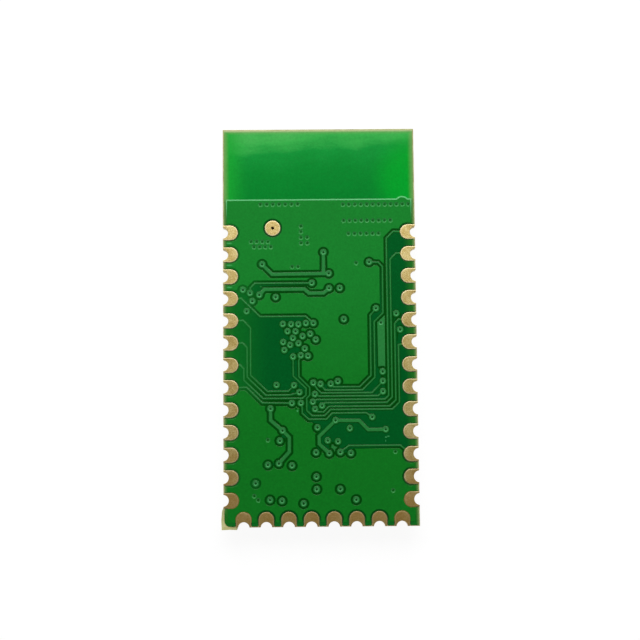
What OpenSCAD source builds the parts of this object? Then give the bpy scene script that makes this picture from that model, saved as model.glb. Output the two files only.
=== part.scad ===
// Castellated short-range radio module: a two-sided circuit board with plated half holes on
// three edges. The solder side is up and the parts side is down, so that the board stands on
// the tops of its two chips. X is the width, and Y runs from the contact end to the antenna end.

/* [Board] */
// Width of the board
board_w = 13; // [12.4:0.1:15]
// Length of the board, from the contact end to the antenna end
board_l = 26.9; // [25.5:0.1:30]
// Distance from the datum, which is the middle of the layout, to the contact end
contact_end = 13.45; // [13.2:0.05:14.5]
// Thickness of the bare laminate
laminate_t = 0.7; // [0.5:0.05:1.2]
// How far the broken-off panel tab stands out of the corner
tab_stub = 0.16; // [0.05:0.01:0.3]
// Length of the broken-off panel tab along each edge
tab_l = 0.85; // [0.6:0.05:1]

/* [Edge contacts] */
// Distance between neighbouring contacts
contact_pitch = 1.5; // [1.3:0.05:1.6]
// Number of contacts on each long side
side_count = 13; // [10:1:14]
// Number of contacts on the end
end_count = 8; // [6:1:8]
// Width of a contact pad
contact_w = 1; // [0.8:0.05:1.1]
// Length of a contact pad, from the board's edge to its round end
contact_l = 1; // [0.8:0.05:1.2]
// Distance from the contact end to the last contact of a side
side_start = 1.77; // [1.7:0.05:2.2]
// How far the row on the end is set off the middle
end_shift = 0.08; // [-0.1:0.02:0.1]
// Diameter of the open half hole, inside its plating
notch_d = 0.78; // [0.5:0.02:0.86]
// How far the half hole's centre lies outside the board's edge
notch_out = 0.04; // [0:0.01:0.1]
// Thickness of the plating in the half hole
plating_t = 0.03; // [0.02:0.005:0.05]

/* [Copper] */
// Thickness of the copper
copper_t = 0.035; // [0.02:0.005:0.07]
// Length of the ground copper between the radio chip and the antenna
radio_field_l = 5.52; // [5.3:0.02:6]
// Distance from the board's long edges to the ground copper
ground_edge = 0.28; // [0.2:0.02:0.4]
// Distance from the contact end's edge to the ground copper
ground_foot = 0.3; // [0.2:0.05:0.5]
// Gap between the ground copper and a track or land
track_gap = 0.14; // [0.08:0.01:0.16]
// Gap between the ground copper and a contact pad
contact_gap = 0.13; // [0.08:0.01:0.16]
// Width of a signal track
signal_w = 0.12; // [0.08:0.01:0.14]
// Width of a supply track
supply_w = 0.25; // [0.18:0.01:0.3]
// Diameter of a via's land
via_land_d = 0.47; // [0.4:0.01:0.5]
// Diameter of the land at the top right corner of the ground copper
edge_land_d = 0.86; // [0.5:0.02:1]
// Distance from the right edge to the middle of that land
edge_land_in = 0.85; // [0.7:0.05:1.5]
// Distance from the top edge of the ground copper to the middle of that land
edge_land_down = 0.26; // [0:0.02:0.4]

/* [Solder mask] */
// Thickness of the mask over copper
mask_t = 0.03; // [0.015:0.005:0.05]
// How far the mask beside the copper reaches past the copper's top
mask_lap = 0.007; // [0.003:0.001:0.012]
// Distance from the board's edge to the mask
mask_edge = 0.07; // [0.04:0.01:0.15]
// Gap between a gold pad and the edge of its window in the mask
window_gap = 0.05; // [0.03:0.01:0.07]
// Diameter of the dimple in the mask over a via
dimple_d = 0.19; // [0.1:0.01:0.3]
// Thickness of mask left under a dimple
dimple_skin = 0.006; // [0.004:0.001:0.01]
// Radius of the mask's corner beside the broken tab
mask_corner_r = 0.4; // [0.2:0.05:0.6]

/* [Test pad] */
// Diameter of the test pad
test_d = 1.03; // [0.8:0.01:1.2]
// Diameter of the open hole in the test pad, inside its plating
test_hole_d = 0.2; // [0.15:0.01:0.4]
// Distance from the left edge to the middle of the test pad
test_in = 3.36; // [2.8:0.02:4]
// Gap between the test pad and the crystal on the other face
test_gap = 0.205; // [0.15:0.005:0.6]

/* [Chips] */
// Width and length of the radio chip
radio_w = 8; // [7:0.1:8.4]
// Pitch of the radio chip's solder balls
radio_pitch = 0.65; // [0.5:0.05:0.7]
// Balls along each side of the radio chip
radio_rows = 11; // [9:2:11]
// Balls along each side of the empty field in the middle of the radio chip
radio_hollow = 5; // [3:2:7]
// Width of the flash chip, across the board
flash_w = 8; // [7:0.1:8.2]
// Length of the flash chip, along the board
flash_l = 6; // [5:0.1:6.4]
// Pitch of the flash chip's solder balls
flash_pitch = 0.8; // [0.65:0.05:0.85]
// Balls across the flash chip
flash_columns = 8; // [6:1:8]
// Balls along the flash chip
flash_rows = 6; // [4:1:6]
// Thickness of both chips' bodies
chip_t = 0.9; // [0.9:0.05:1.2]
// Thickness of the substrate at the foot of a chip's body
substrate_t = 0.26; // [0.15:0.01:0.35]
// How far the moulding is set back from the substrate's edge
mould_step = 0.05; // [0.02:0.01:0.1]
// Gap between the two chips
chip_gap = 0.6; // [0.5:0.05:0.8]
// Distance from the contact end to the flash chip
flash_foot = 1.85; // [1.6:0.05:2]
// Gap between the left contacts and the radio chip
radio_side = 0.5; // [0.3:0.05:0.8]
// Height of a solder ball
ball_h = 0.25; // [0.2:0.01:0.3]
// Diameter of a solder ball
ball_d = 0.36; // [0.34:0.01:0.42]
// Diameter of the mark in a chip's corner
mark_d = 0.5; // [0.3:0.05:0.7]
// Depth of the mark in a chip's corner
mark_depth = 0.03; // [0.01:0.01:0.06]

/* [Crystal, filter and regulator] */
// Length of the crystal
crystal_l = 3.2; // [2.5:0.1:3.2]
// Width of the crystal
crystal_w = 2.5; // [2:0.1:2.5]
// Height of the crystal's ceramic base
crystal_base_h = 0.42; // [0.3:0.02:0.5]
// Height of the crystal's metal lid
crystal_lid_h = 0.26; // [0.2:0.02:0.35]
// How far the lid is set back from the base's edge
crystal_step = 0.14; // [0.1:0.01:0.25]
// Height of the crystal's feet
crystal_foot_h = 0.05; // [0.03:0.01:0.1]
// Gap between the left contacts and the crystal
crystal_side = 0.55; // [0.3:0.05:0.8]
// Length of the band filter
filter_l = 2; // [1.6:0.1:2.2]
// Width of the band filter
filter_w = 1.25; // [1:0.05:1.3]
// Height of the band filter
filter_h = 0.8; // [0.6:0.05:0.9]
// Length of the regulator's body
regulator_l = 2; // [1.8:0.1:2.2]
// Width of the regulator's body
regulator_w = 1.2; // [1.1:0.05:1.3]
// Height of the regulator's body over its feet
regulator_h = 0.8; // [0.7:0.05:0.9]
// Width over the regulator's leads
regulator_span = 2.1; // [1.9:0.05:2.2]
// Width of a regulator lead
lead_w = 0.22; // [0.15:0.01:0.3]
// Thickness of a regulator lead
lead_t = 0.12; // [0.08:0.01:0.15]
// Distance between neighbouring regulator leads
lead_pitch = 0.65; // [0.55:0.01:0.7]
// Length of a regulator lead's foot
lead_foot = 0.22; // [0.15:0.01:0.3]
// Gap under the regulator's body
regulator_clear = 0.1; // [0.05:0.01:0.2]
// How far the regulator's sides lean in towards its foot and its top
regulator_draft = 0.08; // [0.03:0.01:0.12]
// Gap beside the regulator's lands
lane_gap = 0.18; // [0.1:0.01:0.3]

/* [Small parts] */
// Length of a small part
small_l = 1; // [0.9:0.05:1.1]
// Width of a small part
small_w = 0.5; // [0.45:0.05:0.6]
// Height of a small capacitor or inductor
small_h = 0.5; // [0.4:0.05:0.6]
// Height of a small resistor
resistor_h = 0.34; // [0.3:0.02:0.4]
// Length of a large capacitor
large_l = 1.6; // [1.4:0.05:1.7]
// Width of a large capacitor
large_w = 0.8; // [0.7:0.05:0.9]
// Height of a large capacitor
large_h = 0.8; // [0.6:0.05:0.9]
// Length of a metal end cap on a small or large part
cap_l = 0.24; // [0.15:0.01:0.3]
// How far an end cap stands proud of the body
cap_proud = 0.02; // [0.015:0.005:0.03]
// How far a solder land reaches past the end or side of its part
land_toe = 0.12; // [0.08:0.01:0.2]
// Distance between the rows of small parts
row_pitch = 1.25; // [1.1:0.05:1.35]
// Gap between a chip, the filter or the contacts and the parts beside them
part_gap = 0.4; // [0.35:0.05:0.5]

/* [Antenna] */
// Width of the antenna's strip
antenna_w = 0.5; // [0.3:0.05:0.6]
// Distance between the antenna's neighbouring legs
antenna_pitch = 1.25; // [1.1:0.05:1.3]
// Number of the antenna's folded legs
antenna_legs = 4; // [2:1:4]
// Distance from the board's edge and the ground copper to the antenna's middle line
antenna_edge = 0.75; // [0.6:0.05:1]
// Place of the feed across the board
feed_x = 0.1; // [-0.2:0.05:0.4]

/* [Hidden] */
$fn = 48;
// Overlap that carries a cut past a face
cut = 1;
mask_h = copper_t + mask_t;
mask_bare_t = copper_t + mask_lap;
ground_l = flash_foot + flash_l + chip_gap + radio_w + radio_field_l;
front_z = copper_t + ball_h + chip_t;
back_z = front_z + laminate_t;
left_x = -board_w / 2;
right_x = board_w / 2;
end_y = -contact_end;
antenna_y = board_l - contact_end;
ground_y = ground_l - contact_end;
notch_r = notch_d / 2;

// Places of the contacts, counted from the antenna end and from the left
function side_y(i) = end_y + side_start + (side_count - i) * contact_pitch;
function end_x(i) = end_shift + (i - (end_count + 1) / 2) * contact_pitch;

// The layout's points are given on a board of this half width. Those of its outer fields keep
// their distance from the board's edge, and those between the fields stay where they are.
layout_half = 6.5;
left_field = -3.5;
right_field = 3;
function moved(x) = x < left_field ? left_x + layout_half : x > right_field ? right_x - layout_half : 0;
function settled(points) = [for (p = points) [p[0] + moved(p[0]), p[1]]];

// Middle of a contact's round end, on the layout's board
function left_tip(i) = [contact_l - contact_w / 2 - layout_half, side_y(i)];
function right_tip(i) = [layout_half - contact_l + contact_w / 2, side_y(i)];

// The contacts that the ground copper runs into
ground_sides = [side_count];
ground_ends = [1, end_count];

// Outline of a track along its corner points, with mitred corners
function unit(v) = v / norm(v);
function across(a, b) = let(d = unit(b - a)) [-d[1], d[0]];
function mitre(p, i) =
    i == 0 ? across(p[0], p[1]) :
    i == len(p) - 1 ? across(p[i - 1], p[i]) :
    let(a = across(p[i - 1], p[i]), b = across(p[i], p[i + 1])) (a + b) / (1 + a * b);
function side(p, reach) = [for (i = [0 : len(p) - 1]) p[i] + reach * mitre(p, i)];
function backward(p) = [for (i = [len(p) - 1 : -1 : 0]) p[i]];
function track_outline(p, w) = concat(side(p, w / 2), backward(side(p, -w / 2)));

// Rows of vias in the ground copper: first place, step and count
via_rows = [
    [[-3.95, ground_y - 0.28], [0.42, 0], 7],
    [[1.64, ground_y - 0.32], [0.404, 0], 12],
    [[1.68, ground_y - 1.43], [0.395, 0], 9],
    [[2, ground_y - 2.33], [0.405, 0], 6],
    [[-1.22, ground_y - 1.8], [0, -0.385], 4],
    [[-0.8, ground_y - 2.57], [0, -0.385], 2],
    [[-4.6, ground_y - 2.84], [0.38, 0], 4],
    [[-4.4, ground_y - 3.2], [0.38, 0], 4],
    [[-1.83, 3.94], [0.39, 0], 2],
    [[2.49, 4.19], [0, 0], 1],
    [[4.1, 0.12], [0, 0], 1],
    [[-3.53, -7.7], [0, 0], 1],
    [[-4.46, -11.4], [0.26, -0.27], 2],
    [[4.94, -8.54], [0, 0], 1],
    [[4.75, -11.1], [0, 0], 1]
];

// Vias with a land of their own, which stands free of the ground copper
land_vias = [
    [0.28, 4.93], [0.63, 3.48], [-3.86, 4.14], [-0.52, 2.84], [-4.69, 2.18], [-4.06, 2.05],
    [0.64, 2.47], [1.36, 2.48], [-2.96, 1.89], [-5.16, 2.4], [-4.53, 1.63], [-4.92, 0.94],
    [3.36, 4.24], [3.78, 1.08], [1.61, 0.36], [5.14, 0.72], [5.39, -0.37],
    [-2.49, 0.06], [-1.94, 0.04], [-1.45, 0.03], [-0.94, 0.11], [-0.44, 0.11],
    [-2.18, -0.43], [-1.64, -0.44], [-1.17, -0.77], [-0.66, -0.62], [-0.29, -1.01],
    [-1.82, -0.89], [-2.48, -1.16], [-2.01, -1.36], [-1.45, -1.25], [-2.4, -1.7],
    [-1.03, -1.61], [-1.82, -2.15], [-1.3, -2.06], [-0.82, -2.1],
    [-2.94, -4.04], [-1.77, -4.07], [-1.41, -4.54], [-0.48, -3.91], [0, -4], [0.68, -4],
    [1.16, -3.82], [-0.38, -4.67], [-0.52, -5.19], [-1.92, -5.26], [-1.32, -5.26],
    [0.09, -5.45], [-0.38, -5.67], [4.17, -3.19], [4.17, -3.83], [4.17, -4.52],
    [3.43, -6.23], [0.98, -6.43], [1.93, -6.97], [4.32, -7.06], [0.45, -7.77], [1.13, -7.84],
    [-0.23, -6.9], [0.54, -8.62], [1.28, -8.55], [1.98, -8.62], [-0.34, -8.56],
    [-3.35, -5.62], [-2.56, -7.08], [-2.74, -7.76], [-3.54, -9.35], [-2.81, -9.27],
    [-1.94, -9.41], [-0.33, -10.16], [-0.31, -10.99], [-4.36, -10.57], [-3.41, -11.67],
    [-2.62, -11.74], [-1.19, -11.92], [1.25, -10.99], [2.3, -11.7]
];

// Signal tracks of the solder side
signal_tracks = [
    [[-0.52, 2.84], [-4.35, 2.84], [-4.66, 2.53], [-4.69, 2.18]],
    [left_tip(4), [-5.3, 1.83], [-4.03, 0.58], [-0.97, 0.58], [-0.44, 0.11]],
    [left_tip(5), [-5.17, 0.33], [-4.67, -0.17], [-4.67, -3.36], [-3.55, -4.46], [-2.15, -4.46],
        [-1.77, -4.07]],
    [left_tip(6), [-5.2, -1.2], [-4.9, -1.5], [-4.9, -3.48], [-3.67, -4.71], [-2.04, -4.71],
        [-1.41, -4.54]],
    [left_tip(7), [-5.4, -2.66], [-5.12, -2.92], [-5.12, -3.69], [-3.85, -4.94], [-1.2, -4.94],
        [-0.97, -4.71], [-0.97, -4.26], [-1.82, -3.43], [-1.82, -2.15]],
    [left_tip(8), [-4.94, -4.18], [-3.9, -5.22], [-1.92, -5.26]],
    [[-1.3, -2.06], [-1.44, -2.4], [-1.44, -3.49], [-0.72, -4.21], [-0.72, -4.71], [-0.93, -4.94],
        [-0.93, -5.75], [-0.58, -6.11], [0.27, -6.11], [0.67, -5.71], [4.8, -5.71], [5.27, -5.24],
        [5.27, -1.4], right_tip(6)],
    [[-1.32, -5.26], [-1.24, -5.53], [-1.24, -5.93], [-0.8, -6.35], [0.38, -6.35], [0.78, -5.95],
        [3.03, -5.95], [3.43, -6.23]],
    [[0.68, -4], [0.85, -4.19], [2.63, -4.19], [3.39, -3.43], [3.39, 0.62], [3.78, 1.08]],
    [[0, -4], [0.3, -4.41], [2.81, -4.41], [3.65, -3.56], [3.65, 0.19], [4.25, 0.79], [4.25, 3.94],
        [3.97, 4.22], [3.36, 4.24]],
    [[-0.48, -3.91], [-0.25, -4.3], [0.05, -4.6], [3.45, -4.6], [4.17, -3.83]],
    [[-0.38, -4.67], [-0.1, -4.81], [3.85, -4.81], [4.17, -4.52]],
    [[-0.52, -5.19], [-0.25, -5.04], [4.3, -5.04], [4.55, -4.79], [4.55, 5.87], [5.02, 6.33],
        right_tip(1)],
    [[0.09, -5.45], [0.3, -5.26], [4.43, -5.26], [4.79, -4.89], [4.79, 4.43], [5.2, 4.84],
        right_tip(2)],
    [[-0.38, -5.67], [-0.2, -5.86], [0.2, -5.86], [0.56, -5.5], [4.62, -5.5], [5.03, -5.09],
        [5.03, 0.05], [5.3, 0.33], right_tip(5)],
    [[1.28, -8.55], [1.85, -8.12], [5.27, -8.12], right_tip(11)]
];

// Supply tracks of the solder side
supply_tracks = [
    [[-3.86, 4.14], [-3.2, 3.45], [0.63, 3.48]],
    [[0.28, 4.93], [0.28, 3.48]],
    [[-4.06, 2.05], [-3.7, 2.43], [-1.03, 2.43], [-0.72, 2.15], [0.27, 2.15], [0.64, 2.47]],
    [[4.32, -7.06], [3.15, -7.07], [2.55, -6.45], [0.98, -6.43], [-0.12, -7.48], [-0.12, -7.98],
        [0.54, -8.62]],
    [[-3.35, -5.62], [-3.35, -6.38], [-2.56, -7.08], [-2.11, -7.53], [-2.11, -8.48], [-2.81, -9.27]]
];

// Field of signal tracks without ground copper, along the middle of its outermost tracks
signal_field = [
    [layout_half + cut, side_y(1)], [5.02, 6.33], [4.55, 5.87], [4.55, 4.25], [4.25, 3.94], [4.25, 0.8],
    [3.78, 1.08], [3.39, 0.62], [3.39, -3.43], [2.63, -4.19], [0.68, -4.1], [0, -4], [-0.48, -3.91],
    [-0.72, -4.21], [-1.44, -3.49], [-1.44, -2.3], [-0.82, -2.1], [-1.03, -1.61], [-1.17, -0.77],
    [-1.25, -0.3], [-0.94, 0.11], [-0.44, 0.11], [-0.97, 0.58], [-4.03, 0.58], [-4.25, 0.8],
    [-4.53, 1.63], [-4.06, 2.05], [-3.75, 2.43], [-4.35, 2.84], [-4.66, 2.53], [-5.16, 2.4],
    [-layout_half - cut, 2.4], [-layout_half - cut, side_y(8)], [-4.94, -4.18], [-3.9, -5.22],
    [-1.92, -5.26], [-1.32, -5.26], [-1.24, -5.93], [-0.8, -6.35], [-0.23, -6.9], [-0.12, -7.48],
    [-0.12, -7.98], [0.54, -8.62], [0.7, -8.03], [0.95, -8.03], [1.28, -8.55], [1.85, -8.12],
    [5.27, -8.12], [layout_half + cut, side_y(11)]
];

// Strip of ground copper that stands alone in the signal field
ground_strip = [[3.86, -2.85], [4.35, -2.85], [4.35, 0.62], [3.86, 0.62]];

// Land at the top edge of the ground copper
edge_land = [right_x - edge_land_in, ground_y - edge_land_down];

// Places of the chips on the parts side, built up from the contact end and the left contacts
lane_x = left_x + contact_l;
lane_w = regulator_span + 2 * (land_toe + lane_gap);
left_lane = lane_x + lane_w / 2;
flash_at = [lane_x + lane_w + flash_w / 2, end_y + flash_foot + flash_l / 2];
radio_at = [lane_x + radio_side + radio_w / 2, flash_at[1] + (flash_l + radio_w) / 2 + chip_gap];
radio_top = radio_at[1] + radio_w / 2;
radio_right = radio_at[0] + radio_w / 2;
right_lane = (right_x - contact_l + radio_right) / 2;

// Places of the larger parts, and of the test pad above the crystal
crystal_at = [lane_x + crystal_side + crystal_l / 2, radio_top + part_gap + crystal_w / 2];
test_at = [left_x + test_in, crystal_at[1] + crystal_w / 2 + test_gap + test_d / 2];
filter_at = [feed_x, ground_y - antenna_w - filter_l / 2];
regulator_at = [left_lane, flash_at[1] + (flash_l - regulator_l) / 2 - part_gap];
regulator_foot = regulator_at[1] - regulator_l / 2;

// Places of the solder balls, counted from the middle of their chip
function radio_ball(i, j) = radio_at + radio_pitch * [i, j];
function flash_ball(i, j) = flash_at + flash_pitch * [i, j];
radio_half = (radio_rows - 1) / 2;
hollow_half = (radio_hollow - 1) / 2;
radio_balls = [
    for (i = [-radio_half : radio_half]) for (j = [-radio_half : radio_half])
        if (max(abs(i), abs(j)) > hollow_half) radio_ball(i, j)
];
flash_i = (flash_columns - 1) / 2;
flash_j = (flash_rows - 1) / 2;
flash_balls = [for (i = [-flash_i : flash_i]) for (j = [-flash_j : flash_j]) flash_ball(i, j)];

// Places of the small parts: rows between the filter and the right contacts, above the radio chip,
// and one lane beside the right contacts
column_start = filter_at[0] + filter_w / 2 + part_gap + small_l / 2;
column_end = right_x - contact_l - part_gap - small_l / 2;
column_pitch = (column_end - column_start) / 2;
function row_place(i, row) =
    [column_start + i * column_pitch, radio_top + part_gap + small_w / 2 + row * row_pitch];
function lane_place(i) = [right_lane, (side_y(i) + side_y(i + 1)) / 2];
capacitors = concat(
    [for (i = [0 : 2]) row_place(i, 0)],
    [for (i = [0 : 1]) row_place(i, 1)],
    [for (i = [3 : 6]) lane_place(i)]
);
resistors = concat([row_place(2, 1)], [for (i = [7 : 8]) lane_place(i)]);
inductors = [for (i = [0 : 1]) row_place(i, 2)];
large_capacitors = [
    for (i = [0 : 1]) [left_lane, regulator_foot - part_gap - large_w / 2 - i * (large_w + part_gap)]
];

// Tracks of the parts side, from a contact to a ball of the chip beside it
function front_track(i, points) = concat(settled([right_tip(i)]), points);
function radio_track(i, j) = front_track(i, [[radio_right + part_gap, side_y(i)], radio_ball(radio_half, j)]);
front_tracks = concat(
    [for (i = [3, 4]) radio_track(i, radio_half + 3 - i)],
    [for (i = [7, 8]) radio_track(i, 9 - i - radio_half)],
    [for (i = [0 : 2]) front_track(9 + i, [flash_ball(flash_i, flash_j - i)])]
);

// The folded antenna: up from the ground copper, along the end and down and up in folds
antenna_low = ground_y + antenna_edge;
antenna_high = antenna_y - antenna_edge;
antenna_line = concat(
    [edge_land, [edge_land[0], antenna_high]],
    [for (k = [1 : antenna_legs]) for (end = [0 : 1])
        [feed_x - k * antenna_pitch, (k + end) % 2 == 1 ? antenna_high : antenna_low]]
);
feed_line = [[feed_x, filter_at[1] + filter_l / 2 - cap_l], [feed_x, antenna_high]];

// Places of all vias in the ground copper, each row moved as a whole with its board edge, and the
// height on the parts side above which they are clear of the small parts
function row_middle(row) = row[0] + row[1] * (row[2] - 1) / 2;
row_vias = [
    for (row = via_rows) for (k = [0 : row[2] - 1]) row[0] + k * row[1] + [moved(row_middle(row)[0]), 0]
];
clear_y = row_place(0, 2)[1] + (small_w + land_toe + dimple_d) / 2 + window_gap;

// Flat face of a solder ball, which sets its land
ball_land_d = sqrt(ball_d * ball_d - ball_h * ball_h) + 2 * window_gap;

// Side of the regulator's body, from its foot to its top, with the band for its leads
band_h = copper_t + regulator_h / 2;
body_side = [
    [regulator_w / 2 - regulator_draft, copper_t + regulator_clear],
    [regulator_w / 2, band_h],
    [regulator_w / 2, band_h + lead_t],
    [regulator_w / 2 - regulator_draft, copper_t + regulator_h]
];

// Places of the regulator's leads: three on the left and two on the right
lead_places = concat([for (k = [-1 : 1]) [-1, k]], [for (k = [-1, 1]) [1, k]]);

// Half size of one of the crystal's feet
crystal_foot = [crystal_l / 2 - crystal_step, crystal_w / 2 - crystal_step] / 2;

// Heights are measured outwards from each face of the laminate
module on_back() translate([0, 0, back_z]) children();
module on_front() translate([0, 0, front_z]) mirror([0, 0, 1]) children();

// Each contact's own frame has its X axis running inwards from the board's edge
module at_left(i) translate([left_x, side_y(i)]) children();
module at_right(i) translate([right_x, side_y(i)]) rotate(180) children();
module at_end(i) translate([end_x(i), end_y]) rotate(90) children();
module at_all_contacts() {
    for (i = [1 : side_count]) at_left(i) children();
    for (i = [1 : side_count]) at_right(i) children();
    for (i = [1 : end_count]) at_end(i) children();
}

// Plan of a contact, carried out past the board's edge and grown by a clearance
module contact_shape(grow) {
    half = contact_w / 2 + grow;
    round_x = contact_l - contact_w / 2;
    translate([-cut, -half]) square([cut + round_x, 2 * half]);
    translate([round_x, 0]) circle(half);
}

// The half hole, as its whole circle
module notch(grow) translate([-notch_out, 0]) circle(notch_r + grow);

// Plan of the gold pad on one face
module contact_pad() difference() {
    intersection() {
        contact_shape(0);
        translate([0, -contact_w]) square([contact_l + cut, 2 * contact_w]);
    }
    notch(0);
}

// Plan of the plating that lines the half hole
module contact_lining() difference() {
    intersection() {
        notch(plating_t);
        translate([0, -contact_w]) square(2 * contact_w);
    }
    notch(0);
}

// One contact: a pad on each face and the lining of the half hole between them
module contact() {
    on_back() linear_extrude(copper_t) contact_pad();
    on_front() linear_extrude(copper_t) contact_pad();
    translate([0, 0, front_z]) linear_extrude(laminate_t) contact_lining();
}

// The broken tab's stub goes round the corner between the left edge and the contact end. The break
// runs in and out by shares of the stub's reach and length.
module tab_outline() polygon([
    [left_x + cut, end_y + cut],
    [left_x, end_y + tab_l + 3 * tab_stub],
    [left_x - 0.6 * tab_stub, end_y + tab_l + 1.5 * tab_stub],
    [left_x - 0.9 * tab_stub, end_y + 0.6 * tab_l],
    [left_x - 0.75 * tab_stub, end_y - tab_stub],
    [left_x + 0.5 * tab_l, end_y - 0.85 * tab_stub],
    [left_x + tab_l, end_y - tab_stub],
    [left_x + tab_l + 0.8 * tab_stub, end_y]
]);

// Glass-epoxy board with the half holes and the test hole drilled through it
module laminate() color("darkkhaki") translate([0, 0, front_z]) linear_extrude(laminate_t) difference() {
    union() {
        translate([left_x, end_y]) square([board_w, board_l]);
        tab_outline();
    }
    at_all_contacts() notch(plating_t);
    translate(test_at) circle(test_hole_d / 2 + plating_t);
}

module track(points, w) polygon(track_outline(points, w));

module at_each(places) for (place = places) translate(place) children();

// The solder side's tracks and via lands, grown by a clearance
module tracks(grow) {
    for (points = signal_tracks) track(settled(points), signal_w + 2 * grow);
    for (points = supply_tracks) track(settled(points), supply_w + 2 * grow);
    at_each(settled(land_vias)) circle(via_land_d / 2 + grow);
}

// The contacts that the ground copper keeps clear of
module signal_contacts(grow) {
    for (i = [1 : side_count]) if (len(search(i, ground_sides)) == 0) {
        at_left(i) contact_shape(grow);
        at_right(i) contact_shape(grow);
    }
    for (i = [1 : end_count]) if (len(search(i, ground_ends)) == 0) at_end(i) contact_shape(grow);
}

// The ground copper's outline, which is the same on both faces
module ground_area() {
    translate([left_x + ground_edge, end_y + ground_foot])
        square([board_w - 2 * ground_edge, ground_l - ground_foot]);
    translate(edge_land) circle(d = edge_land_d);
}

// The solder side's ground copper, clear of its tracks, lands and contacts
module back_ground() difference() {
    union() {
        difference() {
            ground_area();
            polygon(settled(signal_field));
        }
        polygon(settled(ground_strip));
    }
    tracks(track_gap);
    signal_contacts(contact_gap);
    translate(test_at) circle(test_d / 2 + contact_gap);
}

// All of the solder side's copper, up to the contacts
module back_plan() difference() {
    union() {
        back_ground();
        tracks(0);
    }
    at_all_contacts() contact_shape(0);
}

module back_copper() color("peru") on_back() linear_extrude(copper_t) back_plan();

// The mask's outline, with a round corner beside the broken tab
module mask_outline() {
    corner = [left_x + mask_edge + mask_corner_r, end_y + mask_edge + mask_corner_r];
    polygon(concat(
        [[left_x + mask_edge, antenna_y - mask_edge], [right_x - mask_edge, antenna_y - mask_edge]],
        [[right_x - mask_edge, end_y + mask_edge]],
        [for (turn = [270 : -15 : 180]) corner + mask_corner_r * [cos(turn), sin(turn)]]
    ));
}

// Mask over one side's copper, its first child: thinner and higher over the copper, with windows
// for the contacts, the test pad and the lands, its second child
module mask(dimples) difference() {
    linear_extrude(mask_h) difference() {
        mask_outline();
        at_all_contacts() contact_shape(window_gap);
        translate(test_at) circle(test_d / 2 + window_gap);
        if ($children > 1) children(1);
    }
    translate([0, 0, -cut]) linear_extrude(cut + copper_t) children(0);
    translate([0, 0, mask_bare_t]) linear_extrude(cut) difference() {
        translate([left_x - cut, end_y - cut]) square([board_w + 2 * cut, board_l + 2 * cut]);
        children(0);
    }
    translate([0, 0, copper_t + dimple_skin]) at_each(dimples) cylinder(d = dimple_d, h = cut);
}

module back_mask() color("green") on_back() mask(concat(row_vias, settled(land_vias))) back_plan();

// Lands of a part with two end caps, its length along X, or the field that they stand in
module end_lands(l, w, grow) {
    land_l = cap_l + 2 * land_toe;
    for (end = [-1, 1]) translate([end * (l - cap_l) / 2, 0])
        square([land_l + 2 * grow, w + land_toe + 2 * grow], center = true);
}
module end_field(l, w)
    square([l + 2 * (land_toe + track_gap), w + land_toe + 2 * track_gap], center = true);

module at_crystal_feet() translate(crystal_at) for (i = [-1, 1], j = [-1, 1])
    translate([i * crystal_l, j * crystal_w] / 4) children();

module at_leads() translate(regulator_at) for (lead = lead_places)
    translate([0, lead[1] * lead_pitch]) rotate(lead[0] < 0 ? 180 : 0) children();

// Every land of the parts side, grown by a clearance
module front_lands(grow) {
    at_each(concat(radio_balls, flash_balls)) circle(d = ball_land_d + 2 * grow);
    at_each(concat(capacitors, resistors, inductors)) end_lands(small_l, small_w, grow);
    at_each(large_capacitors) end_lands(large_l, large_w, grow);
    translate(filter_at) rotate(90) end_lands(filter_l, filter_w, grow);
    at_crystal_feet() square(2 * crystal_foot + [2, 2] * grow, center = true);
    at_leads() translate([regulator_span / 2 - lead_foot / 2, 0])
        square([lead_foot + 2 * land_toe + 2 * grow, lead_w + land_toe + 2 * grow], center = true);
}

// Fields without ground copper under the chips and parts
module front_fields() {
    translate(radio_at) square(radio_w + 2 * track_gap, center = true);
    translate(flash_at) square([flash_w + 2 * track_gap, flash_l + 2 * track_gap], center = true);
    at_each(concat(capacitors, resistors, inductors)) end_field(small_l, small_w);
    at_each(large_capacitors) end_field(large_l, large_w);
    translate(filter_at) rotate(90) end_field(filter_l, filter_w);
    translate(crystal_at) square([crystal_l, crystal_w] + [2, 2] * track_gap, center = true);
    translate(regulator_at)
        square([regulator_span + 2 * land_toe, regulator_l] + [2, 2] * track_gap, center = true);
}

// The parts side's tracks and the antenna's feed, grown by a clearance
module front_lines(grow) {
    for (points = front_tracks) track(points, signal_w + 2 * grow);
    track(feed_line, antenna_w + 2 * grow);
}

// All of the parts side's copper, up to the contacts
module front_plan() difference() {
    union() {
        difference() {
            ground_area();
            front_fields();
            front_lines(track_gap);
            signal_contacts(contact_gap);
            translate(test_at) circle(test_d / 2 + contact_gap);
        }
        front_lands(0);
        front_lines(0);
        track(antenna_line, antenna_w);
    }
    at_all_contacts() contact_shape(0);
}

module front_copper() color("peru") on_front() linear_extrude(copper_t) front_plan();

module front_mask() color("green") on_front() mask([for (place = row_vias) if (place[1] > clear_y) place]) {
    front_plan();
    front_lands(window_gap);
}

// The three rows of contacts
module left_contacts() color("gold") for (i = [1 : side_count]) at_left(i) contact();
module right_contacts() color("gold") for (i = [1 : side_count]) at_right(i) contact();
module end_contacts() color("gold") for (i = [1 : end_count]) at_end(i) contact();

// A ring on each face and the lining of the hole between them
module test_pad() color("gold") translate(test_at) difference() {
    union() {
        on_back() cylinder(d = test_d, h = copper_t);
        on_front() cylinder(d = test_d, h = copper_t);
        translate([0, 0, front_z]) cylinder(d = test_hole_d + 2 * plating_t, h = laminate_t);
    }
    cylinder(d = test_hole_d, h = back_z + cut);
}

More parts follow.
